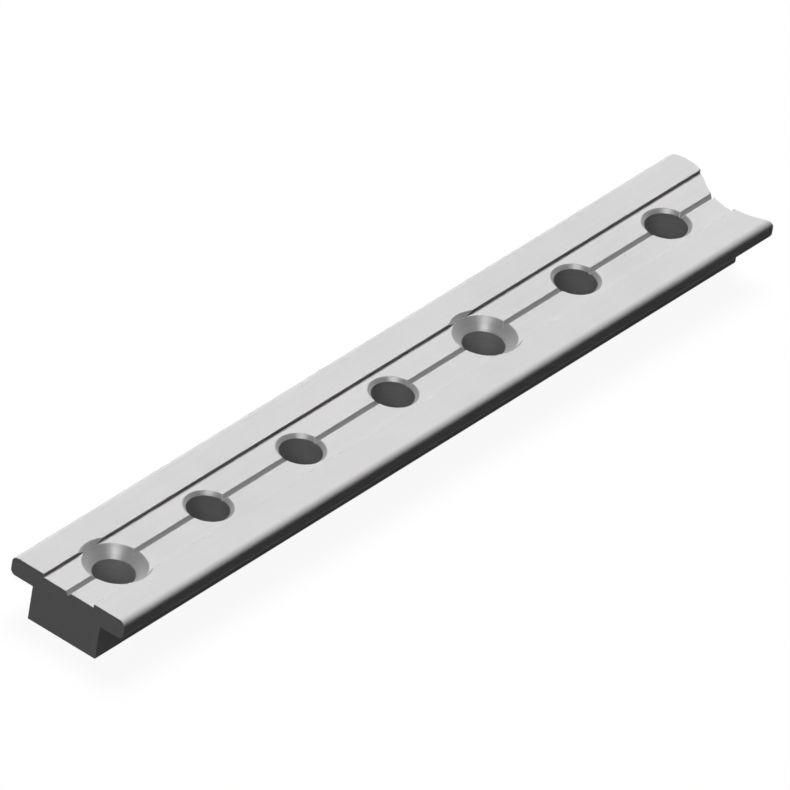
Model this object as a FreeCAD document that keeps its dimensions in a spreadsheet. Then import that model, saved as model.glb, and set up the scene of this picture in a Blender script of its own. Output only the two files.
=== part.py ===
import FreeCAD, Part
import math
import os
import Sketcher
from FreeCAD import Vector

# One length of extruded aluminium sail track: a T-section with a wide flat head on a
# narrower web, a shallow recess and a scribed centre line along the head's top, a row
# of stop holes on that line, countersinks at every fourth hole, one square sawn end
# and one end cut to an S-shaped curve.
# Millimetres. X runs along the track towards the curved end, Y across it, and Z up
# from the deck that the web stands on. The origin is the middle of the foot: the
# features are drawn from the square end, and the body's placement moves them back.

NODE = "track_rail"
SIZES = [
    # name, value, what it is
    ("track_length", 179.3, "square end to the crest of the curved end"),
    ("track_height", 10.6, "deck to the top of the head"),
    ("head_width", 25.0, "across the rounded edges that the car runs on"),
    ("head_thickness", 3.75, "head, top face to underside"),
    ("web_width", 15.0, "web that stands on the deck"),
    ("top_edge_radius", 1.25, "rounding of the head's upper edges"),
    ("under_edge_radius", 1.1, "rounding of the head's lower edges"),
    ("recess_width", 11.2, "shallow recess along the top"),
    ("recess_depth", 0.7, "step down into the recess"),
    ("scribe_width", 1.15, "mouth of the V-shaped centre line"),
    ("scribe_depth", 0.8, "V-shaped centre line, below the recess floor"),
    ("hole_pitch", 25.0, "from one hole to the next"),
    ("first_hole", 12.5, "square end to the first hole"),
    ("hole_diameter", 7.7, "every hole"),
    ("chamfer_diameter", 9.0, "mouth of a stop hole at the recess floor"),
    ("screw_every", 4, "holes from one countersink to the next"),
    ("sink_diameter", 13.0, "countersink at the head's top face"),
    ("sink_angle", 90.0, "included angle of countersinks and chamfers"),
    ("crest_radius", 8.25, "convex part of the curved end"),
    ("crest_offset", 8.7, "centre line to the crest, towards +Y"),
    ("hollow_radius", 12.5, "concave part of the curved end"),
    ("hollow_offset", 4.9, "centre line to the bottom of the hollow, towards -Y"),
    ("end_land", 11.5, "least distance from the last hole to the crest"),
    ("saw_allowance", 4.0, "stock past the crest, until the curve is cut"),
]

# How a sketch numbers an edge's points and its own two axes, and its origin point.
START, END, CENTRE = range(1, 4)
UP_AXIS, ACROSS_AXIS = range(-2, 0)
ORIGIN = (ACROSS_AXIS, START)

doc = FreeCAD.newDocument("SailTrack")
sheet = doc.addObject("Spreadsheet::Sheet", "Sizes")
for row, (name, value, meaning) in enumerate(SIZES, start=1):
    sheet.set(f"A{row}", name)
    sheet.set(f"B{row}", str(value))
    sheet.set(f"C{row}", meaning)
    sheet.setAlias(f"B{row}", name)
doc.recompute()


def size(name):
    return float(sheet.get(name))


def new_sketch(body, name, role, height=None):
    """A sketch on an origin plane of its own body, lifted where a height is given."""
    plane = next(part for part in body.Origin.OriginFeatures if part.Role == role)
    sketch = body.newObject("Sketcher::SketchObject", name)
    sketch.AttachmentSupport = [(plane, "")]
    sketch.MapMode = "FlatFace"
    if height:
        sketch.setExpression(".AttachmentOffset.Base.z", height)
    return sketch


def relate(sketch, kind, *items):
    return sketch.addConstraint(Sketcher.Constraint(kind, *items))


def dimension(sketch, name, formula, kind, *items):
    """A constraint with a name and a value that follows the sheet."""
    number = relate(sketch, kind, *items)
    sketch.renameConstraint(number, name)
    sketch.setExpression(f"Constraints.{name}", formula)


def finish_feature(feature, base=None):
    """Recomputes, and makes sure that a cut took something away from its base."""
    doc.recompute()
    if base and feature.Shape.Volume >= base.Shape.Volume:
        raise RuntimeError(f"{feature.Name} cut nothing")
    return feature


def draw_section(sketch):
    """The section with its edges still sharp, drawn round from the scribed line."""
    top = size("track_height")
    floor = top - size("recess_depth")
    underside = top - size("head_thickness")
    right_side = [
        (size("scribe_width") / 2, floor),
        (size("recess_width") / 2, floor),
        (size("recess_width") / 2, top),
        (size("head_width") / 2, top),
        (size("head_width") / 2, underside),
        (size("web_width") / 2, underside),
        (size("web_width") / 2, 0.0),
    ]
    left_side = [(-across, up) for across, up in reversed(right_side)]
    corners = [(0.0, floor - size("scribe_depth"))] + right_side + left_side
    count = len(corners)
    points = [Vector(across, up, 0) for across, up in corners]
    for first, second in zip(points, points[1:] + points[:1]):
        sketch.addGeometry(Part.LineSegment(first, second), False)

    def corner(number):
        return (number % count, START)

    # Corner 0 is the bottom of the scribed line. Corners 1 to 7 go down the right
    # side, and corners -1 to -7 are their images on the left.
    for line in range(count):
        relate(sketch, "Coincident", line, END, *corner(line + 1))
    for line in range(1, 7):
        kind = "Horizontal" if line % 2 else "Vertical"
        relate(sketch, kind, line)
        relate(sketch, kind, count - 1 - line)
    for number in (1, 3, 5, 7):
        relate(sketch, "Symmetric", *corner(-number), *corner(number), UP_AXIS)
    relate(sketch, "PointOnObject", *corner(0), UP_AXIS)
    relate(sketch, "PointOnObject", *corner(7), ACROSS_AXIS)

    for name, number in [("scribe_width", 1), ("recess_width", 2), ("head_width", 4), ("web_width", 7)]:
        ends = corner(-number) + corner(number)
        dimension(sketch, name, f"Sizes.{name}", "DistanceX", *ends, size(name))
    for name, low, high in [
        ("track_height", 7, 4),
        ("head_thickness", 5, 4),
        ("recess_depth", 2, 3),
        ("scribe_depth", 0, 1),
    ]:
        ends = corner(low) + corner(high)
        dimension(sketch, name, f"Sizes.{name}", "DistanceY", *ends, size(name))


def round_edges(body, base, name, radius, height):
    """Rounds the head's two long edges at a height, one on each side."""
    edges = []
    for number, edge in enumerate(base.Shape.Edges, start=1):
        ends = [vertex.Point for vertex in edge.Vertexes]
        on_side = all(abs(abs(end.y) - size("head_width") / 2) < 1e-4 for end in ends)
        at_height = all(abs(end.z - height) < 1e-4 for end in ends)
        if on_side and at_height:
            edges.append(f"Edge{number}")
    fillet = body.newObject("PartDesign::Fillet", name)
    fillet.Base = (base, edges)
    fillet.setExpression("Radius", f"Sizes.{radius}")
    return finish_feature(fillet, base)


def extrude_stock(body):
    """The extrusion as it leaves the die, with some stock past the curved end."""
    section = new_sketch(body, "section", "YZ_Plane")
    draw_section(section)
    stock = body.newObject("PartDesign::Pad", "extrusion")
    stock.Profile = section
    stock.setExpression("Length", "Sizes.track_length + Sizes.saw_allowance")
    finish_feature(stock)
    top = size("track_height")
    rounded = round_edges(body, stock, "upper_edges", "top_edge_radius", top)
    underside = top - size("head_thickness")
    return round_edges(body, rounded, "lower_edges", "under_edge_radius", underside)


def drill_row(body, base, name, height, mouth, spacing):
    """A through hole with a conical mouth on the centre line, and its row of copies."""
    sketch = new_sketch(body, f"{name}_centre", "XY_Plane", height)
    first, diameter = size("first_hole"), size("hole_diameter")
    circle = Part.Circle(Vector(first, 0, 0), Vector(0, 0, 1), diameter / 2)
    sketch.addGeometry(circle, False)
    relate(sketch, "PointOnObject", 0, CENTRE, ACROSS_AXIS)
    dimension(sketch, "first_hole", "Sizes.first_hole", "DistanceX", *ORIGIN, 0, CENTRE, first)
    dimension(sketch, "hole_diameter", "Sizes.hole_diameter", "Diameter", 0, diameter)
    doc.recompute()

    hole = body.newObject("PartDesign::Hole", name)
    hole.Profile = sketch
    hole.ThreadType = "None"
    hole.DepthType = "ThroughAll"
    hole.HoleCutType = "Countersink"
    hole.HoleCutCustomValues = True
    hole.setExpression("Diameter", "Sizes.hole_diameter")
    hole.setExpression("HoleCutDiameter", mouth)
    hole.setExpression("HoleCutCountersinkAngle", "Sizes.sink_angle")
    finish_feature(hole, base)

    # As many copies as the length has room for, short of the curved end.
    room = "(Sizes.track_length - Sizes.first_hole - Sizes.end_land)"
    row = body.newObject("PartDesign::LinearPattern", f"{name}_row")
    row.Originals = [hole]
    row.Direction = (sketch, ["H_Axis"])
    row.Mode = "Spacing"
    row.setExpression("Offset", spacing)
    row.setExpression("Occurrences", f"floor({room} / ({spacing})) + 1")
    body.Tip = row
    return finish_feature(row, hole)


def draw_end_curve(sketch):
    """An S-shaped line across the track, closed round the stock that is cut off. Its
    convex arc, on the +Y side, runs smoothly into the concave one on the -Y side."""
    convex, concave = size("crest_radius"), size("hollow_radius")
    crest = Vector(size("track_length") - convex, size("crest_offset"), 0)
    across = size("crest_offset") + size("hollow_offset")
    along = math.sqrt((convex + concave) ** 2 - across ** 2)
    hollow = crest + Vector(along, -across, 0)
    slope = math.atan2(across, along)
    up = Vector(0, 0, 1)
    crest_arc = Part.ArcOfCircle(Part.Circle(crest, up, convex), -slope, math.pi / 2)
    hollow_arc = Part.ArcOfCircle(Part.Circle(hollow, up, concave), math.pi - slope, 1.5 * math.pi)
    sketch.addGeometry(crest_arc, False)
    sketch.addGeometry(hollow_arc, False)

    # Straight lines lead on from the arcs' outer ends, well clear of the section.
    clear, past = size("head_width"), size("saw_allowance")
    upper = crest + Vector(0, convex, 0)
    lower = hollow - Vector(0, concave, 0)
    far = hollow.x + past
    points = [
        upper,
        Vector(upper.x, upper.y + clear, 0),
        Vector(far, upper.y + clear, 0),
        Vector(far, lower.y - clear, 0),
        Vector(lower.x, lower.y - clear, 0),
        lower,
    ]
    for first, second in zip(points, points[1:]):
        sketch.addGeometry(Part.LineSegment(first, second), False)

    crest_edge, hollow_edge, first_line, last_line = 0, 1, 2, 6
    relate(sketch, "Tangent", crest_edge, START, hollow_edge, START)
    relate(sketch, "Coincident", crest_edge, END, first_line, START)
    for line in range(first_line, last_line):
        relate(sketch, "Coincident", line, END, line + 1, START)
    relate(sketch, "Coincident", last_line, END, hollow_edge, END)
    for line in range(first_line, last_line + 1):
        relate(sketch, "Horizontal" if line % 2 else "Vertical", line)
    for arc in (crest_edge, hollow_edge):
        relate(sketch, "Vertical", arc, CENTRE, arc, END)

    dimension(sketch, "crest_radius", "Sizes.crest_radius", "Radius", crest_edge, convex)
    dimension(sketch, "hollow_radius", "Sizes.hollow_radius", "Radius", hollow_edge, concave)
    crest_along = "Sizes.track_length - Sizes.crest_radius"
    dimension(sketch, "crest_along", crest_along, "DistanceX", *ORIGIN, crest_edge, CENTRE, crest.x)
    for name, ends, offset in [
        ("crest_offset", (*ORIGIN, crest_edge, CENTRE), crest.y),
        ("hollow_offset", (hollow_edge, CENTRE, *ORIGIN), -hollow.y),
    ]:
        dimension(sketch, name, f"Sizes.{name}", "DistanceY", *ends, offset)
    for name, line in [("clear_above", first_line), ("clear_below", last_line)]:
        dimension(sketch, name, "Sizes.head_width", "DistanceY", line, START, line, END, clear)
    dimension(sketch, "past", "Sizes.saw_allowance", "DistanceX", hollow_edge, CENTRE, 4, START, past)


def cut_curved_end(body, base):
    """The curve goes square down through the head and the web."""
    sketch = new_sketch(body, "end_curve", "XY_Plane")
    draw_end_curve(sketch)
    cut = body.newObject("PartDesign::Pocket", "curved_end")
    cut.Profile = sketch
    cut.Type = "ThroughAll"
    cut.SideType = "Symmetric"
    return finish_feature(cut, base)


def build_rail():
    body = doc.addObject("PartDesign::Body", NODE)
    body.Label = NODE
    stock = extrude_stock(body)
    floor = "Sizes.track_height - Sizes.recess_depth"
    pitch = "Sizes.hole_pitch"
    stops = drill_row(body, stock, "stop_hole", floor, "Sizes.chamfer_diameter", pitch)
    top, screw_pitch = "Sizes.track_height", f"{pitch} * Sizes.screw_every"
    screws = drill_row(body, stops, "screw_sink", top, "Sizes.sink_diameter", screw_pitch)
    body.Tip = cut_curved_end(body, screws)
    body.setExpression(".Placement.Base.x", "-Sizes.track_length / 2")
    doc.recompute()
    return body


def check(part):
    """Every object of the document is sound, and the part is one valid solid."""
    for item in doc.Objects:
        if "Invalid" in item.State or "Error" in item.State:
            raise RuntimeError(f"{item.Name} failed: {item.State}")
        if item.TypeId == "Sketcher::SketchObject" and not item.FullyConstrained:
            raise RuntimeError(f"{item.Name} is not fully constrained")
    if part.Shape.isNull() or not part.Shape.isValid() or len(part.Shape.Solids) != 1:
        raise RuntimeError(f"{part.Label} is not one valid solid")


rail = build_rail()
check(rail)
os.makedirs("parts", exist_ok=True)
rail.Shape.exportStep(os.path.join("parts", f"{rail.Label}.step"))
box = rail.Shape.BoundBox
extent = f"{box.XLength:.2f} x {box.YLength:.2f} x {box.ZLength:.2f} mm"
print(f"{rail.Label}: {extent}, {rail.Shape.Volume:.0f} mm3")
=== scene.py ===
import math

import bmesh
import bpy
import numpy as np
from mathutils import Matrix, Vector


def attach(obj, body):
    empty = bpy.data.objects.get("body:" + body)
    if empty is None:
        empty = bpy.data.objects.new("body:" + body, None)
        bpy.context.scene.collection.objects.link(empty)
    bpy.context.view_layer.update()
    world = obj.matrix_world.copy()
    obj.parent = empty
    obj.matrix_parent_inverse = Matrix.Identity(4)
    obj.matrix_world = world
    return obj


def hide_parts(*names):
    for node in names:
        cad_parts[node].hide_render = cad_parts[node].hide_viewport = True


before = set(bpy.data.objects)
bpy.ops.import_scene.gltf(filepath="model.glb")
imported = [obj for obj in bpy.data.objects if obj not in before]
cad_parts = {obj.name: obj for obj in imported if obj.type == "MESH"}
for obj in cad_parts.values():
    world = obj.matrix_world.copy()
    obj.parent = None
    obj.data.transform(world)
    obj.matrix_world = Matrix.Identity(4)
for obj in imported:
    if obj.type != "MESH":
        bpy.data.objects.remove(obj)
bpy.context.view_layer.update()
print("frame: the packed sail track")

# Lengths are in millimetres until a mesh is made, unless a note says otherwise, with
# x along the track, z up from the deck and the origin in the middle of the foot.
perMetre = 1000.0
rail = {
    "length": 179.3,
    "height": 10.6,
    "headWidth": 25.0,
    "headThickness": 3.75,
    "webWidth": 15.0,
    "topEdge": 1.25,  # rounding of the head's upper edges
    "underEdge": 1.1,  # rounding of the head's lower edges
    "recessWidth": 11.2,
    "recessDepth": 0.7,
    "scribeWidth": 1.15,
    "scribeDepth": 0.8,
    "edgeBreak": 0.06,  # how far every cut or sharp edge is eased
    "crestRadius": 8.25,
    "crestOffset": 8.7,  # from the middle plane to the crest's centre
    "hollowRadius": 12.5,
    "hollowOffset": 4.9,  # from the middle plane to the hollow's centre, the other way
}
holes = {
    "count": 7,
    "first": 12.5,  # from the square end
    "pitch": 25.0,
    "bore": 3.85,  # radius
    "screwEvery": 4,  # the first hole and every fourth after it take a screw
    "stopMouth": 4.5,  # radius of a stop hole's chamfer at the recess floor
    "sinkMouth": 6.5,  # radius of a countersink at the head's top
}
# How many steps each run of the outline is drawn in.
steps = {
    "scribe": 3,
    "lip": 2,
    "floorArc": 24,
    "floorRest": 4,
    "stepWall": 3,
    "edge": 3,
    "landArc": 8,
    "landRest": 3,
    "head": 9,
    "nose": 12,
    "web": 2,
    "cone": 3,
    "bore": 2,
}
joining = {
    "mergeWithin": 1e-6,  # m
    "sharpFrom": 40,  # degrees between two faces
}
endX = {"square": -rail["length"] / 2, "curved": rail["length"] / 2}
recessFloor = rail["height"] - rail["recessDepth"]
underside = rail["height"] - rail["headThickness"]
ease = rail["edgeBreak"]

# The three lines of an eased edge, each as how far it stands back from the edge on
# either side: the outer line, the edge itself while sharp, and the inner line.
edgeLines = [(ease, 0), (0, 0), (0, ease)]

# Where the runs of a half outline end, as places in its list of points.
corner = steps["scribe"] + steps["lip"] + steps["floorArc"] + steps["floorRest"]
stepTop = corner + steps["stepWall"]
landStart = stepTop + steps["edge"]
overWeb = landStart + steps["landArc"] + steps["landRest"]
noseSide = overWeb + steps["head"] + steps["nose"]
webTop = noseSide + 1 + steps["head"] + steps["nose"]
footSide = webTop + steps["web"] + steps["edge"]
footPoints = corner + 1 + steps["landArc"] + steps["landRest"]
footMiddle = footSide + footPoints - 1
floorCut = steps["scribe"] + steps["lip"] + steps["floorArc"]


def run(start, end, count):
    # Even steps from start to end, the start itself left out.
    return np.linspace(start, end, count + 1)[1:]


def flatRun(start, end, radius, arcSteps, restSteps):
    # Points across a flat, from one y to another. A hole's circle stops them: they
    # stand at even angles on it, at its radius times the angle's cosine and sine, and
    # any beyond it stand straight over its middle.
    if radius <= start:
        y = run(start, end, arcSteps + restSteps)
        return np.zeros_like(y), y
    first = math.asin(start / radius)
    if radius >= end:
        angle = run(first, math.asin(end / radius), arcSteps + restSteps)
        return radius * np.cos(angle), radius * np.sin(angle)
    angle = run(first, math.pi / 2, arcSteps)
    y = np.append(radius * np.sin(angle), run(radius, end, restSteps))
    return np.append(radius * np.cos(angle), np.zeros(restSteps)), y


def cutRadius(hole, z):
    # A hole's radius at a height: the bore, and above its rim a cone of 45 degrees,
    # wider by as much as the height is above the rim.
    return holes["bore"] + np.maximum(z - hole["rim"], 0)


def topHalf(hole, widen, inset):
    # The upper half outline from the scribed line to the nose: x from the hole's
    # middle, y and z. The section is set in by inset, and the hole widened by widen.
    def reach(y, z):
        # x on the hole's circle: the root of its radius squared less y squared.
        if not hole:
            return np.zeros_like(y)
        return np.sqrt(np.maximum((cutRadius(hole, z) + widen) ** 2 - y**2, 0))

    def radiusAt(z):
        # The radius of that circle on a flat: the hole's own plus what it is widened by.
        return float(cutRadius(hole, z)) + widen if hole else 0.0

    # The scribed line goes straight up to its lip, and the lip turns on to the floor.
    slope = math.atan2(rail["scribeDepth"], rail["scribeWidth"] / 2)
    lipY = rail["scribeWidth"] / 2 + ease * math.tan(slope / 2)
    lipTurn = np.linspace(slope, 0, steps["lip"] + 1)
    lipZ = recessFloor - ease + (ease - inset) * np.cos(lipTurn)
    lip = np.stack([lipY - (ease - inset) * np.sin(lipTurn), lipZ])
    bottom = recessFloor - rail["scribeDepth"] - inset / math.cos(slope)
    share = np.linspace(0, 1, steps["scribe"] + 1)
    scribe = np.stack([share * lip[0, 0], bottom + share * (lip[1, 0] - bottom)])
    y, z = np.concatenate([scribe, lip[:, 1:]], axis=1)
    x = reach(y, z)

    # Across the recess floor, up the step's wall and round its edge.
    wallY = rail["recessWidth"] / 2 + inset
    floorZ, topZ = recessFloor - inset, rail["height"] - inset
    floorX, floorY = flatRun(lipY, wallY, radiusAt(floorZ), steps["floorArc"], steps["floorRest"])
    wallZ = run(floorZ, rail["height"] - ease, steps["stepWall"])
    edgeTurn = run(math.pi / 2, 0, steps["edge"])
    edgeY = rail["recessWidth"] / 2 + ease - (ease - inset) * np.sin(edgeTurn)
    edgeZ = rail["height"] - ease + (ease - inset) * np.cos(edgeTurn)
    wall = np.append(np.full(steps["stepWall"], wallY), edgeY), np.append(wallZ, edgeZ)

    # Across the head's top, and a quarter of a circle round the nose.
    webY = rail["webWidth"] / 2 - ease
    landX, landY = flatRun(edgeY[-1], webY, radiusAt(topZ), steps["landArc"], steps["landRest"])
    noseY = rail["headWidth"] / 2 - rail["topEdge"]
    noseTurn = run(0, math.pi / 2, steps["nose"])
    noseRadius = rail["topEdge"] - inset
    noseZ = rail["height"] - rail["topEdge"] + noseRadius * np.cos(noseTurn)
    headY = np.append(run(webY, noseY, steps["head"]), noseY + noseRadius * np.sin(noseTurn))
    headZ = np.append(np.full(steps["head"], topZ), noseZ)

    x = np.concatenate([x, floorX, reach(*wall), landX, np.zeros_like(headY)])
    y = np.concatenate([y, floorY, wall[0], landY, headY])
    z = np.concatenate([z, np.full_like(floorY, floorZ), wall[1], np.full_like(landY, topZ), headZ])
    return np.stack([x, y, z], axis=1)


def footSpread(hole):
    # The angles round a bore at which its lining has points, from y = 0 to 90 degrees.
    # They are the angles whose tangent is y over x at the lining's upper end, so that
    # its lines run straight down.
    top = topHalf(hole, 0, ease)
    angles = np.arctan2(top[:, 1], top[:, 0])
    if not hole["isSink"]:
        return angles[: floorCut + 1]
    return np.append(angles[: corner + 1], run(angles[corner], math.pi / 2, steps["landArc"]))


def halfLoop(hole, widen, inset=0.0):
    # A whole half outline: over the head, round the nose, under it and to the foot's
    # middle. Below, its points stand under those of the upper half. The lower edge
    # falls by the root of its radius squared less the way past its centre squared.
    top = topHalf(hole, widen, inset)
    outerY = top[overWeb:noseSide, 1][::-1].copy()
    outerY[-1] = rail["webWidth"] / 2 - inset
    arcY = rail["headWidth"] / 2 - rail["underEdge"]
    arcRadius = rail["underEdge"] - inset
    fall = np.sqrt(arcRadius**2 - np.clip(outerY - arcY, 0, arcRadius) ** 2)
    outerZ = underside + rail["underEdge"] - fall
    side = rail["headWidth"] / 2 - inset, underside + rail["underEdge"]
    webY = rail["webWidth"] / 2 - inset
    webZ = run(outerZ[-1], ease, steps["web"])
    turn = run(math.pi / 2, 0, steps["edge"])
    footY = rail["webWidth"] / 2 - ease + (ease - inset) * np.sin(turn)
    footZ = ease - (ease - inset) * np.cos(turn)

    if hole:
        angles = footSpread(hole)
        radius = holes["bore"] + widen
        rest = run(radius, rail["webWidth"] / 2 - ease, footPoints - len(angles))
        innerX = np.append(radius * np.cos(angles), np.zeros_like(rest))
        innerY = np.append(radius * np.sin(angles), rest)
    else:
        innerY = np.append(top[: corner + 1, 1], top[landStart + 1 : overWeb + 1, 1])
        innerX = np.zeros_like(innerY)
    innerX, innerY = innerX[-2::-1], innerY[-2::-1]

    y = np.concatenate([[side[0]], outerY, np.full_like(webZ, webY), footY, innerY])
    z = np.concatenate([[side[1]], outerZ, webZ, footZ, np.full_like(innerY, inset)])
    x = np.append(np.zeros(len(y) - len(innerX)), innerX)
    return np.concatenate([top, np.stack([x, y, z], axis=1)])


def wholeLoop(half):
    # The outline all the way round, its other half mirrored in the middle plane.
    mirrored = half[-2:0:-1] * [1, -1, 1]
    return np.concatenate([half, mirrored])


def curvedEndX(y, trim):
    # The S-shaped end at a y: a convex arc about the crest's centre that runs into a
    # concave one about the hollow's. x is the centre's, plus or minus the root of the
    # radius squared less the way across squared. Trim moves the curve back into the track.
    crestR, hollowR = rail["crestRadius"] - trim, rail["hollowRadius"] + trim
    crestX, crestY = endX["curved"] - rail["crestRadius"], rail["crestOffset"]
    across = rail["crestOffset"] + rail["hollowOffset"]
    centresApart = rail["crestRadius"] + rail["hollowRadius"]
    hollowX = crestX + math.sqrt(centresApart**2 - across**2)
    meetY = crestY - crestR * across / centresApart
    onCrest = crestX + np.sqrt(np.maximum(crestR**2 - (y - crestY) ** 2, 0))
    onHollow = hollowX - np.sqrt(np.maximum(hollowR**2 - (y + rail["hollowOffset"]) ** 2, 0))
    return np.where(y > meetY, onCrest, onHollow)


def endLoop(end, trim, inset):
    # The whole outline where the track ends, trimmed back along it and set in.
    loop = wholeLoop(halfLoop(None, 0, inset))
    if end == "square":
        loop[:, 0] = endX["square"] + trim
    else:
        loop[:, 0] = curvedEndX(loop[:, 1], trim)
    return loop


patches = []  # (points, faces, finish, rub): rub is up to 1 on an eased edge, else 0
finishes = ["extruded", "countersunk", "bored", "sawn"]


def loopRub():
    # Where the whole outline's own eased edges are: the lips, the step and the foot.
    half = np.zeros(footMiddle + 1)
    easedRuns = [
        (steps["scribe"], steps["lip"]),
        (stepTop, steps["edge"]),
        (footSide - steps["edge"], steps["edge"]),
    ]
    for start, count in easedRuns:
        half[start + 1 : start + count] = 1
    return np.concatenate([half, half[-2:0:-1]])


def easedRub():
    # The rub across an eased edge: four times the share of the way across times the
    # share that is left, so nothing at its two borders and most in between.
    t = np.linspace(0, 1, steps["edge"] + 1)[:, None]
    return 4 * t * (1 - t)


def addGrid(rows, finish, closed=False, rub=0.0):
    # A grid of points to quads. A closed one also joins its last column to its first.
    rows = np.asarray(rows)
    count, width = rows.shape[:2]
    at = np.arange(count * width).reshape(count, width)
    if closed:
        at = np.concatenate([at, at[:, :1]], axis=1)
    quads = np.stack([at[:-1, :-1], at[:-1, 1:], at[1:, 1:], at[1:, :-1]], axis=-1)
    rub = np.broadcast_to(rub, (count, width)).reshape(-1)
    patches.append((rows.reshape(-1, 3), quads.reshape(-1, 4).tolist(), finish, rub))


def eased(outer, edge, inner):
    # Rows across an eased edge: the outer line times the square of the share still to
    # go, the sharp edge times twice both shares, and the inner line times the square of
    # the share gone.
    t = np.linspace(0, 1, steps["edge"] + 1)[:, None, None]
    return (1 - t) ** 2 * outer + 2 * t * (1 - t) * edge + t**2 * inner


def allRound(quarter):
    # A quarter of a hole's edge, from y = 0 to x = 0, mirrored to the whole edge.
    half = np.concatenate([quarter, quarter[-2::-1] * [-1, 1, 1]])
    return np.concatenate([half, half[-2:0:-1] * [1, -1, 1]])


def lineHole(hole):
    # The lining of one hole: the eased upper edge, the cone, the bore and the foot's
    # edge. x and y are the radius at a height times the angle's cosine and sine.
    middle = [hole["x"], 0, 0]
    last = landStart + steps["landArc"] if hole["isSink"] else floorCut
    lines = [topHalf(hole, widen, inset)[: last + 1] for widen, inset in edgeLines]
    addGrid(eased(*[allRound(line) + middle for line in lines]), "countersunk", True, easedRub())

    edge = lines[2]
    if hole["isSink"]:
        # The cone between the step walls and the head's top, on either side of the
        # recess: rows at the walls' heights, turned evenly from wall to wall.
        z = edge[corner : stepTop + 1, 2][:, None]
        radius = cutRadius(hole, z)
        first = np.arcsin(edge[corner, 1] / radius)
        share = np.linspace(-1, 1, 2 * steps["landArc"] + 1)
        turn = math.pi / 2 + share * (math.pi / 2 - first)
        fan = np.stack([radius * np.cos(turn), radius * np.sin(turn), z + 0 * turn], axis=-1)
        for side in (1, -1):
            addGrid(fan * [1, side, 1] + middle, "countersunk")
        edge = np.concatenate([edge[: corner + 1], fan[0, 1 : steps["landArc"] + 1]])

    # The cone and the bore go straight down from each point at its own angle.
    angles = np.arctan2(edge[:, 1], edge[:, 0])
    rim = np.minimum(hole["rim"], edge[:, 2])
    share = np.linspace(0, 1, steps["cone"] + 1)[:, None]
    coneZ = edge[:, 2] + share * (rim - edge[:, 2])
    share = np.linspace(0, 1, steps["bore"] + 1)[1:, None]
    z = np.concatenate([coneZ, rim + share * (ease - rim)])
    radius = cutRadius(hole, z)
    wall = np.stack([radius * np.cos(angles), radius * np.sin(angles), z], axis=-1)
    lining = np.array([allRound(row) for row in wall]) + middle
    addGrid(lining[: steps["cone"] + 1], "countersunk", True)
    addGrid(lining[steps["cone"] :], "bored", True)

    # The bore's lower edge, eased out on to the foot.
    circle = allRound(np.stack([np.cos(angles), np.sin(angles), 0 * angles], axis=-1))
    rings = []
    for height, widen in edgeLines:
        reach = holes["bore"] + widen
        rings.append(circle * [reach, reach, 0] + [hole["x"], 0, height])
    addGrid(eased(*rings), "bored", True, easedRub())


def capEnd(end):
    # The cut face of an end: upright strips between the upper outline and the lower.
    # Two strips a side have more corners, at the recess's step and at the web's side.
    loop = endLoop(end, 0, ease)
    count = len(loop)
    inner = np.arange(footPoints)
    overInner = np.where(inner <= corner, inner, landStart + inner - corner)
    footInner = footMiddle - inner
    outer = np.arange(steps["head"] + steps["nose"] + 1)
    overOuter, underOuter = overWeb + outer, webTop - outer
    strips = []
    for over, under in [(overInner, footInner), (overOuter, underOuter)]:
        strips += np.stack([over[:-1], over[1:], under[1:], under[:-1]], axis=1).tolist()
    strips[corner][:1] = list(range(corner, landStart + 1))
    strips[footPoints - 2][1:3] = [overWeb, *range(webTop, webTop + steps["web"] + 1)]
    strips += [[(count - place) % count for place in strip] for strip in strips]
    patches.append((loop, strips, "sawn", np.zeros(count)))


def holeRow():
    # Each hole's place along the track, and the height at which its cone meets its bore.
    row = []
    for number in range(holes["count"]):
        isSink = number % holes["screwEvery"] == 0
        mouth = holes["sinkMouth"] if isSink else holes["stopMouth"]
        height = rail["height"] if isSink else recessFloor
        row.append({
            "x": endX["square"] + holes["first"] + number * holes["pitch"],
            "rim": height - (mouth - holes["bore"]),
            "isSink": isSink,
        })
    return row


def joinPatches(name):
    # All patches as one closed mesh, in metres, with a finish on each face.
    points, faces, marks, rubs = [], [], [], []
    for patchPoints, patchFaces, finish, rub in patches:
        base = sum(map(len, points))
        points.append(patchPoints)
        faces += [[place + base for place in face] for face in patchFaces]
        marks += [finishes.index(finish)] * len(patchFaces)
        rubs.append(rub)
    mesh = bpy.data.meshes.new(name)
    mesh.from_pydata(np.concatenate(points) / perMetre, [], faces)
    mesh.polygons.foreach_set("material_index", marks)
    mesh.attributes.new("rub", "FLOAT", "POINT").data.foreach_set("value", np.concatenate(rubs))

    work = bmesh.new()
    work.from_mesh(mesh)
    bmesh.ops.remove_doubles(work, verts=work.verts, dist=joining["mergeWithin"])
    bmesh.ops.recalc_face_normals(work, faces=work.faces)
    openEdges = sum(not edge.is_manifold for edge in work.edges)
    volume = work.calc_volume() * perMetre**3
    print("track:", len(work.faces), "faces,", openEdges, "open edges,", round(volume), "mm3")
    work.to_mesh(mesh)
    work.free()
    return mesh


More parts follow.
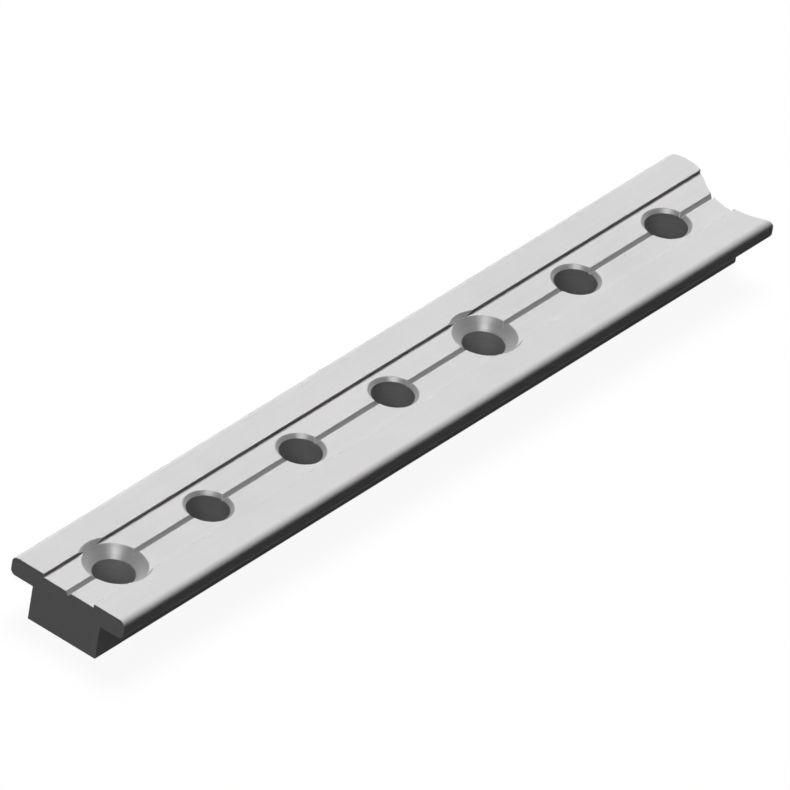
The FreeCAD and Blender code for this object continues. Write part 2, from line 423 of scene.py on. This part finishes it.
def buildTrack():
    # The section is carried from hole to hole, and from the end holes to the ends.
    start = endLoop("square", ease, 0)
    for hole in holeRow():
        middle = [hole["x"], 0, 0]
        half = wholeLoop(halfLoop(hole, ease))
        addGrid([start, half * [-1, 1, 1] + middle], "extruded", True, loopRub())
        start = half + middle
        lineHole(hole)
    addGrid([start, endLoop("curved", ease, 0)], "extruded", True, loopRub())
    for end in ("square", "curved"):
        rim = [endLoop(end, trim, inset) for trim, inset in edgeLines]
        addGrid(eased(*rim), "sawn", True, np.maximum(easedRub(), loopRub()))
        capEnd(end)

    mesh = joinPatches("trackRail")
    mesh.shade_smooth()
    mesh.set_sharp_from_angle(angle=math.radians(joining["sharpFrom"]))
    track = bpy.data.objects.new("trackRail", mesh)
    bpy.context.scene.collection.objects.link(track)
    even = track.modifiers.new("evenNormals", "WEIGHTED_NORMAL")
    even.keep_sharp = True
    return track


track = buildTrack()
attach(track, "root")
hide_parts("track_rail")

# The looks of the four finishes. A density is the scale of the lines' noise along x, y
# and z, to a metre, and line depths are in metres.
look = {
    "extruded": {
        "colour": (0.668, 0.658, 0.663),
        "shade": (0.615, 0.606, 0.612),
        "rubbed": (0.67, 0.661, 0.665),
        "density": (7.0, 2300.0, 2300.0),
        "lineDepth": 1.6e-6,
        "lineShare": 0.35,  # how much of the shade the lines bring, the rest being cloud
        "roughness": (0.40, 0.52),
        "specular": 0.012,
    },
    "countersunk": {
        # Its colour and shade are darker than the extruded skin's: painted shade in the countersinks,
        # over real tool lines.
        "colour": (0.41, 0.403, 0.407),
        "shade": (0.335, 0.329, 0.333),
        "rubbed": (0.56, 0.554, 0.556),
        "density": (45.0, 45.0, 4200.0),
        "lineDepth": 6e-6,
        "lineShare": 0.75,
        "roughness": (0.36, 0.46),
        "specular": 0.2,
    },
    "bored": {
        # Its colour and shade are darker than the extruded skin's: painted shade down the bores, over
        # real tool lines.
        "colour": (0.44, 0.434, 0.437),
        "shade": (0.35, 0.345, 0.348),
        "rubbed": (0.52, 0.513, 0.516),
        "density": (45.0, 45.0, 3000.0),
        "lineDepth": 3e-6,
        "lineShare": 0.6,
        "roughness": (0.42, 0.52),
        "specular": 0.02,
    },
    "sawn": {
        "colour": (0.62, 0.611, 0.616),
        "shade": (0.54, 0.532, 0.537),
        "rubbed": (0.72, 0.715, 0.715),
        "density": (4600.0, 60.0, 60.0),
        "lineDepth": 5e-6,
        "lineShare": 0.7,
        "roughness": (0.44, 0.56),
        "specular": 0.05,
    },
}
# Noise goes from 0 to 1 between the two values of its range.
toolLines = {
    "coarse": {"Scale": 0.45, "Detail": 2.0},
    "fine": {"Scale": 1.6, "Detail": 1.0},
    "fineShare": 0.45,
    "range": (0.32, 0.68),
}
metalSkin = {
    "cloud": {"Scale": 55.0, "Detail": 4.0, "Roughness": 0.65},
    "cloudRange": (0.35, 0.7),
    "wear": {"Scale": 420.0, "Detail": 2.0},
    "wearRange": (0.42, 0.6),
    "wearPolish": -0.08,  # what full wear adds to the roughness
}
# Painted shade: darker colours on the walls of the recess's steps and down in the scribed line.
paintedShade = {
    "colour": (0.22, 0.217, 0.219),
    "scribeColour": (0.41, 0.404, 0.407),
    "soft": 0.04,  # mm over which it fades out
    "scribeReach": 0.6,  # of the scribed line's width, out from its middle
    "scribeFall": 1.5,  # of the scribed line's depth, down from the recess floor
}
sawCentre = (0.0, -0.062, 0.135)  # m, the blade's axle when it cut an end


def addNode(tree, kind, inputs=None, **settings):
    # A new node. Its inputs go by name or number: a socket is linked, a value is set.
    made = tree.nodes.new("ShaderNode" + kind)
    for name, value in settings.items():
        setattr(made, name, value)
    for key, value in (inputs or {}).items():
        if isinstance(value, bpy.types.NodeSocket):
            tree.links.new(value, made.inputs[key])
        else:
            made.inputs[key].default_value = value
    return made


def combine(tree, operation, first, second):
    # One number made of two.
    return addNode(tree, "Math", {0: first, 1: second}, operation=operation).outputs[0]


def stretch(tree, value, low, high, **settings):
    # 0 where the value is low, 1 where it is high, and in between from one to the other.
    return addNode(tree, "MapRange", {0: value, 1: low, 2: high}, **settings).outputs[0]


def mixNumber(tree, share, first, second):
    # The first number where the share is 0, and the second where it is 1.
    return addNode(tree, "Mix", {0: share, 2: first, 3: second}).outputs[0]


def mixColour(tree, share, first, second):
    # The first colour where the share is 0, and the second where it is 1.
    return addNode(tree, "Mix", {0: share, 6: first, 7: second}, data_type="RGBA").outputs[2]


def mixShader(tree, share, first, second):
    # The first shader where the share is 0, and the second where it is 1.
    return addNode(tree, "MixShader", {0: share, 1: first, 2: second}).outputs[0]


def addGroup(name, ins, outs):
    # A node group with named inputs, given with their plain values, and outputs.
    tree = bpy.data.node_groups.new(name, "ShaderNodeTree")
    for label, kind, value in ins:
        tree.interface.new_socket(label, in_out="INPUT", socket_type=kind).default_value = value
    for label, kind in outs:
        tree.interface.new_socket(label, in_out="OUTPUT", socket_type=kind)
    return tree, tree.nodes.new("NodeGroupInput").outputs, tree.nodes.new("NodeGroupOutput").inputs


def toolLinesGroup():
    # Lines that a die or a cutter leaves: noise drawn out along the tool's way, coarse
    # lines with finer ones added between them.
    tree, given, out = addGroup(
        "toolLines",
        [("Coordinates", "NodeSocketVector", (0, 0, 0)), ("Density", "NodeSocketVector", (1, 1, 1))],
        [("Lines", "NodeSocketFloat")],
    )
    factors = {0: given["Coordinates"], 1: given["Density"]}
    drawn = addNode(tree, "VectorMath", factors, operation="MULTIPLY").outputs[0]
    coarse = addNode(tree, "TexNoise", {"Vector": drawn, **toolLines["coarse"]}).outputs["Fac"]
    fine = addNode(tree, "TexNoise", {"Vector": drawn, **toolLines["fine"]}).outputs["Fac"]
    both = mixNumber(tree, toolLines["fineShare"], coarse, fine)
    tree.links.new(stretch(tree, both, *toolLines["range"]), out["Lines"])
    return tree


def skinGroup():
    # The colour and roughness of bare or anodised metal: its lines and a faint cloud
    # shade it, and where an edge is rubbed it is paler and smoother.
    tree, given, out = addGroup(
        "metalSkin",
        [
            ("Coordinates", "NodeSocketVector", (0, 0, 0)),
            ("Lines", "NodeSocketFloat", 0.5),
            ("Line Share", "NodeSocketFloat", 0.5),
            ("Rub", "NodeSocketFloat", 0.0),
            ("Colour", "NodeSocketColor", (1, 1, 1, 1)),
            ("Shade", "NodeSocketColor", (1, 1, 1, 1)),
            ("Rubbed", "NodeSocketColor", (1, 1, 1, 1)),
            ("Smooth", "NodeSocketFloat", 0.4),
            ("Rough", "NodeSocketFloat", 0.5),
        ],
        [("Colour", "NodeSocketColor"), ("Roughness", "NodeSocketFloat")],
    )
    where = given["Coordinates"]
    cloud = addNode(tree, "TexNoise", {"Vector": where, **metalSkin["cloud"]}).outputs["Fac"]
    cloudy = stretch(tree, cloud, *metalSkin["cloudRange"])
    shade = mixNumber(tree, given["Line Share"], cloudy, given["Lines"])
    shaded = mixColour(tree, shade, given["Colour"], given["Shade"])
    wear = addNode(tree, "TexNoise", {"Vector": where, **metalSkin["wear"]}).outputs["Fac"]
    patchy = stretch(tree, wear, *metalSkin["wearRange"])
    worn = combine(tree, "MULTIPLY", patchy, given["Rub"])
    tree.links.new(mixColour(tree, worn, shaded, given["Rubbed"]), out["Colour"])
    rough = addNode(tree, "MapRange", {0: shade, 3: given["Smooth"], 4: given["Rough"]}).outputs[0]
    polish = {0: worn, 1: metalSkin["wearPolish"], 2: rough}
    polished = addNode(tree, "Math", polish, operation="MULTIPLY_ADD").outputs[0]
    tree.links.new(polished, out["Roughness"])
    return tree


def between(tree, value, low, high):
    # A mask in millimetres on a value in metres: 1 between low and high, and smoothly
    # down to 0 outside them.
    soft = paintedShade["soft"]
    sides = []
    for outside, inside in [(low - soft, low), (high + soft, high)]:
        ends = outside / perMetre, inside / perMetre
        sides.append(stretch(tree, value, *ends, interpolation_type="SMOOTHSTEP"))
    return combine(tree, "MULTIPLY", *sides)


def paintShade(tree, coordinates, colour):
    # Painted shade: a darker colour down in the scribed line and on the walls of the recess's steps,
    # where shade falls. Each mask is a band across times a band upwards.
    apart = addNode(tree, "SeparateXYZ", {0: coordinates}).outputs
    across = addNode(tree, "Math", {0: apart["Y"]}, operation="ABSOLUTE").outputs[0]
    scribeSide = rail["scribeWidth"] * paintedShade["scribeReach"]
    scribeFoot = recessFloor - rail["scribeDepth"] * paintedShade["scribeFall"]
    wallY, wallTop = rail["recessWidth"] / 2, rail["height"] - ease / 2
    bands = [
        ("scribeColour", (0, scribeSide), (scribeFoot, recessFloor - ease)),
        ("colour", (wallY, wallY + ease / 2), (recessFloor, wallTop)),
    ]
    for name, ySpan, zSpan in bands:
        masks = between(tree, across, *ySpan), between(tree, apart["Z"], *zSpan)
        mask = combine(tree, "MULTIPLY", *masks)
        colour = mixColour(tree, mask, colour, (*paintedShade[name], 1))
    return colour


def finishMaterial(finish, linesGroup, metalGroup):
    # The material of one finish: both groups with its own values, and its lines as bump.
    values = look[finish]
    material = bpy.data.materials.new(finish + "Aluminium")
    material.use_nodes = True
    tree = material.node_tree
    shader = tree.nodes["Principled BSDF"]
    where = addNode(tree, "TexCoord").outputs["Object"]
    along = where
    if finish == "sawn":
        # Arcs about the blade's axle: the distance from it takes the place of x.
        flat = addNode(tree, "VectorMath", {0: where, 1: (0, 1, 1)}, operation="MULTIPLY")
        arc = addNode(tree, "VectorMath", {0: flat.outputs[0], 1: sawCentre}, operation="DISTANCE")
        along = addNode(tree, "CombineXYZ", {0: arc.outputs["Value"]}).outputs[0]
    given = {"Coordinates": along, "Density": values["density"]}
    lines = addNode(tree, "Group", given, node_tree=linesGroup).outputs["Lines"]
    given = {
        "Coordinates": where,
        "Lines": lines,
        "Line Share": values["lineShare"],
        "Rub": addNode(tree, "Attribute", attribute_name="rub").outputs["Fac"],
        "Colour": (*values["colour"], 1),
        "Shade": (*values["shade"], 1),
        "Rubbed": (*values["rubbed"], 1),
        "Smooth": values["roughness"][0],
        "Rough": values["roughness"][1],
    }
    skin = addNode(tree, "Group", given, node_tree=metalGroup).outputs
    # Only the extruded skin gets the painted shade, on its step walls and in its scribed line.
    colour = paintShade(tree, where, skin["Colour"]) if finish == "extruded" else skin["Colour"]
    bump = addNode(tree, "Bump", {"Height": lines, "Distance": values["lineDepth"], "Strength": 1.0})
    tree.links.new(colour, shader.inputs["Base Color"])
    tree.links.new(skin["Roughness"], shader.inputs["Roughness"])
    tree.links.new(bump.outputs["Normal"], shader.inputs["Normal"])
    shader.inputs["Specular IOR Level"].default_value = values["specular"]
    return material


linesGroup, metalGroup = toolLinesGroup(), skinGroup()
for finish in finishes:
    track.data.materials.append(finishMaterial(finish, linesGroup, metalGroup))
print("finishes:", ", ".join(finishes))

view = {
    "azimuth": -56.0,  # degrees from the front, round the upright
    "elevation": 35.85,
    "roll": 9.3,
    "lens": 1500.0,  # mm: so long that the track's edges stay nearly parallel
    "sensor": 36.0,  # mm
    "width": 135.46,  # mm seen from side to side
    "aim": (-2.63, -0.75, 9.9),  # mm, the middle of the view
    "clipStart": 0.1,  # m
    "clipEnd": 3,  # times the distance
}


def placeCamera():
    # A long lens from far off, straight behind the aim.
    cam = bpy.data.cameras.new("camera")
    cam.lens = view["lens"]
    cam.sensor_width = view["sensor"]
    distance = view["width"] / view["sensor"] * view["lens"] / perMetre
    cam.clip_start = view["clipStart"]
    cam.clip_end = distance * view["clipEnd"]
    turn, rise = math.radians(view["azimuth"]), math.radians(view["elevation"])
    back = Vector((math.sin(turn) * math.cos(rise), -math.cos(turn) * math.cos(rise), math.sin(rise)))
    facing = (-back).to_track_quat("-Z", "Y").to_matrix()
    spin = facing @ Matrix.Rotation(math.radians(view["roll"]), 3, "Z")
    camera = bpy.data.objects.new("camera", cam)
    aim = Vector(view["aim"]) / perMetre
    camera.matrix_world = Matrix.Translation(aim + back * distance) @ spin.to_4x4()
    bpy.context.scene.collection.objects.link(camera)
    bpy.context.scene.camera = camera


placeCamera()
print("camera: from", view["azimuth"], "degrees round and", view["elevation"], "up")

# A lamp's strength of 1 lights a white sheet that faces it to plain white. Spreads are
# in degrees.
studio = {
    "key": {"towards": (0.44, 0.33, 0.835), "strength": 1.15, "spread": 30},
    "fill": {"towards": (-0.785, -0.09, 0.61), "strength": 0.09, "spread": 20},
    "glint": {"towards": (-0.42, -0.40, 0.81), "strength": 3.7, "spread": 24},
    "dimWorld": 0.03,  # what the world and the floor send to the object
    "dimFloor": 0.032,
    "floorSize": 3.0,  # m from its middle to its edges
    "floorGap": 1e-5,  # m that it lies under the foot
    "floorColour": 0.95,
    "floorGlow": 0.93,  # how much of the pale floor is plain white, so that shadows stay faint
}


def addLamp(name):
    # A broad sun, given by the way from the object towards it.
    lamp = bpy.data.lights.new(name, "SUN")
    lamp.energy = studio[name]["strength"] * math.pi
    lamp.angle = math.radians(studio[name]["spread"])
    stand = bpy.data.objects.new(name, lamp)
    stand.rotation_euler = Vector(studio[name]["towards"]).to_track_quat("Z", "Y").to_euler()
    stand.visible_diffuse = name != "glint"  # the glint lamp only shows in the gloss
    bpy.context.scene.collection.objects.link(stand)


def seenWhite(tree, dim, bright):
    # The eye, gloss and glass meet the bright shader, and everything else the dim one.
    path = addNode(tree, "LightPath").outputs
    seen = path["Is Camera Ray"]
    for kind in ("Is Glossy Ray", "Is Transmission Ray"):
        seen = combine(tree, "MAXIMUM", seen, path[kind])
    return mixShader(tree, seen, dim, bright)


def grey(level):
    # An opaque grey.
    return (level, level, level, 1)


def lightWorld():
    # White to the eye, and dim to the object.
    world = bpy.data.worlds.new("studio")
    bpy.context.scene.world = world
    world.use_nodes = True
    tree = world.node_tree
    dim = tree.nodes["Background"]
    dim.inputs["Color"].default_value = grey(studio["dimWorld"])
    white = addNode(tree, "Background", {"Color": grey(1), "Strength": 1.0})
    seen = seenWhite(tree, dim.outputs[0], white.outputs[0])
    tree.links.new(seen, tree.nodes["World Output"].inputs["Surface"])


def layFloor():
    # One square sheet of pale paper. From below, the track is seen through it.
    reach, drop = studio["floorSize"], -studio["floorGap"]
    corners = [(x * reach, y * reach, drop) for x, y in [(-1, -1), (1, -1), (1, 1), (-1, 1)]]
    mesh = bpy.data.meshes.new("floor")
    mesh.from_pydata(corners, [], [(0, 1, 2, 3)])
    floor = bpy.data.objects.new("floor", mesh)
    bpy.context.scene.collection.objects.link(floor)
    paper = bpy.data.materials.new("paper")
    paper.use_nodes = True
    tree = paper.node_tree
    dark = addNode(tree, "Emission", {"Color": grey(studio["dimFloor"])}).outputs[0]
    pale = addNode(tree, "BsdfDiffuse", {"Color": grey(studio["floorColour"])}).outputs[0]
    glow = addNode(tree, "Emission", {"Color": grey(1)}).outputs[0]
    bright = mixShader(tree, studio["floorGlow"], pale, glow)
    below = addNode(tree, "NewGeometry").outputs["Backfacing"]
    clear = addNode(tree, "BsdfTransparent").outputs[0]
    sheet = mixShader(tree, below, seenWhite(tree, dark, bright), clear)
    tree.links.new(sheet, tree.nodes["Material Output"].inputs["Surface"])
    mesh.materials.append(paper)


for lampName in ("key", "fill", "glint"):
    addLamp(lampName)
lightWorld()
layFloor()
print("studio: three lamps, a world and a floor")

bpy.context.scene.view_settings.view_transform = "Standard"
